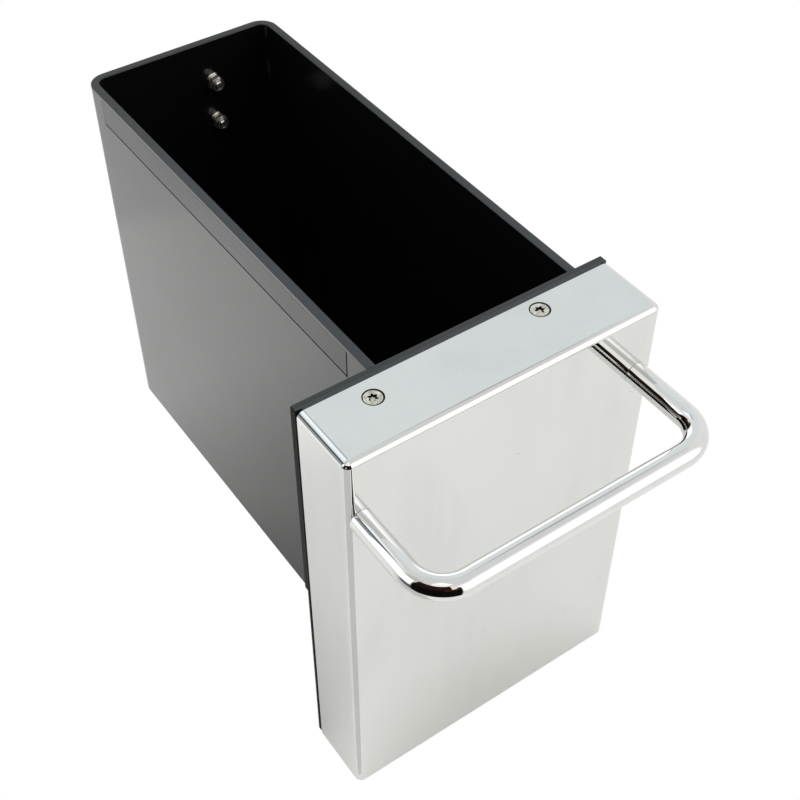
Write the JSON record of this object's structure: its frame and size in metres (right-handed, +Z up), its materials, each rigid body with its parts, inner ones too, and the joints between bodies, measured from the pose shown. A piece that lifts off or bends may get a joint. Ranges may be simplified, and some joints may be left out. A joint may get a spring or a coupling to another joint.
{
  "type": "pull-out refuse bin",
  "caption": "Long open-topped black bin on a box-shaped mirror-polished front with a bow handle; pulls out of a housing as one drawer.",
  "frame": {"origin": "centre of the bounding box's underside: in the middle of the front cover's width, at the height of the cover's bottom edge", "axes": "+Z up, the handle side faces -Y, +X to the right of a person facing the handle"},
  "size_m": [0.176, 0.403, 0.264],
  "materials": {
    "black_sheet": "glossy black sheet with a soft, slightly uneven reflection",
    "black_plate": "satin black plate",
    "gasket_rubber": "matt black rubber",
    "mirror_steel": "mirror-polished stainless steel with faint smudges",
    "handle_chrome": "mirror-polished tube",
    "nickel_steel": "nickel-plated screws, slightly warm",
    "fastener_steel": "plain plated steel",
    "raw_aluminium": "mill-finish aluminium",
    "glide_plastic": "smooth black low-friction plastic",
    "zinc_bracket": "zinc-plated steel sheet"
  },
  "bodies": {
    "root": {"bin_wrap": "black_sheet", "bin_floor": "black_sheet", "bin_front_panel": "black_sheet", "backing_plate": "black_plate", "cover_gasket": "gasket_rubber", "front_cover": "mirror_steel", "handle_tube": "handle_chrome", "handle_plugs": "raw_aluminium", "handle_screws": "fastener_steel", "handle_washers": "fastener_steel", "handle_stiffener": "raw_aluminium", "top_rail": "raw_aluminium", "bottom_rail": "raw_aluminium", "rail_screws": "fastener_steel", "rail_nuts": "fastener_steel", "cover_top_screws": "nickel_steel", "cover_bottom_screws": "nickel_steel", "left_glide_strip": "glide_plastic", "right_glide_strip": "glide_plastic", "rear_bracket": "zinc_bracket", "rear_bolts": "fastener_steel", "rear_plain_washers": "fastener_steel", "rear_lock_washers": "fastener_steel", "rear_outer_washers": "fastener_steel", "rear_nuts": "fastener_steel"}
  },
  "joints": []
}
